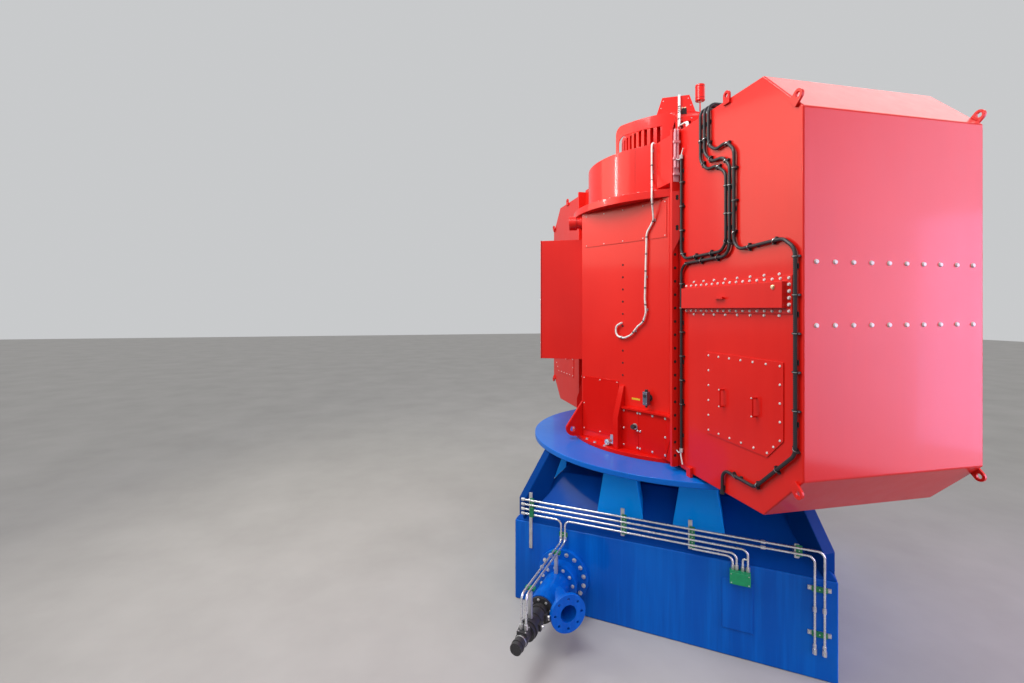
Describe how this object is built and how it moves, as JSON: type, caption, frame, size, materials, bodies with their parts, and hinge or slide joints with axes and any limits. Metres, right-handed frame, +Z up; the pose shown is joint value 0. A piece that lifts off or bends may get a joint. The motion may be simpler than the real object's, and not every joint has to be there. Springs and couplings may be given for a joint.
{
  "type": "hydroelectric generator",
  "caption": "Vertical hydroelectric generator with air cooler boxes and a louvred crown, standing on its square turbine casing with an injector.",
  "frame": {"origin": "on the machine's vertical axis at the underside of the turbine casing", "axes": "+Z up along the machine's axis, -Y towards the front air cooler box, +X to its right"},
  "size_m": [4.9066, 5.95, 6.478],
  "materials": {
    "casing_blue": "glossy enamel",
    "plate_blue": "glossy enamel",
    "machine_red": "glossy enamel",
    "clamp_green": "satin",
    "tube_steel": "drawn",
    "bracket_steel": "zinc plated",
    "servo_black": "satin",
    "conduit_black": "matt, corrugated",
    "hose_white": "satin"
  },
  "bodies": {
    "root": {"turbine_casing": "casing_blue", "casing_roof": "plate_blue", "casing_neck": "casing_blue", "support_legs": "plate_blue", "corner_braces": "plate_blue", "foundation_plate": "plate_blue", "access_cover": "casing_blue", "junction_box": "clamp_green", "oil_tubes": "tube_steel", "tube_brackets": "bracket_steel", "tube_clamps": "clamp_green", "injector_flange": "casing_blue", "injector_body": "casing_blue", "inlet_flange": "casing_blue", "servomotor": "servo_black", "base_flange": "machine_red", "stator_housing": "machine_red", "upper_covers": "machine_red", "lower_covers": "machine_red", "side_panels": "machine_red", "gusset_posts": "machine_red", "base_lugs": "machine_red", "drain_valve": "tube_steel", "sight_gauge": "tube_steel", "terminal_box": "machine_red", "front_duct": "machine_red", "rear_duct": "machine_red", "bolting_flanges": "machine_red", "front_air_box": "machine_red", "rear_air_box": "machine_red", "duct_covers": "machine_red", "hatch_plates": "machine_red", "hatch_handles": "machine_red", "front_lifting_lugs": "machine_red", "rear_lifting_lugs": "machine_red", "foot_blocks": "machine_red", "stub_pipe": "machine_red", "bearing_shelf": "machine_red", "bearing_drum": "machine_red", "crown_guards": "machine_red", "louvre_drum": "machine_red", "crown_roof": "machine_red", "crown_hood": "machine_red", "breather": "machine_red", "crown_cable": "hose_white", "cable_saddles": "bracket_steel", "cable_conduits": "conduit_black", "conduit_pads": "conduit_black", "sensor_hose": "hose_white", "hose_pads": "bracket_steel", "sensor_tubes": "hose_white"}
  },
  "joints": []
}
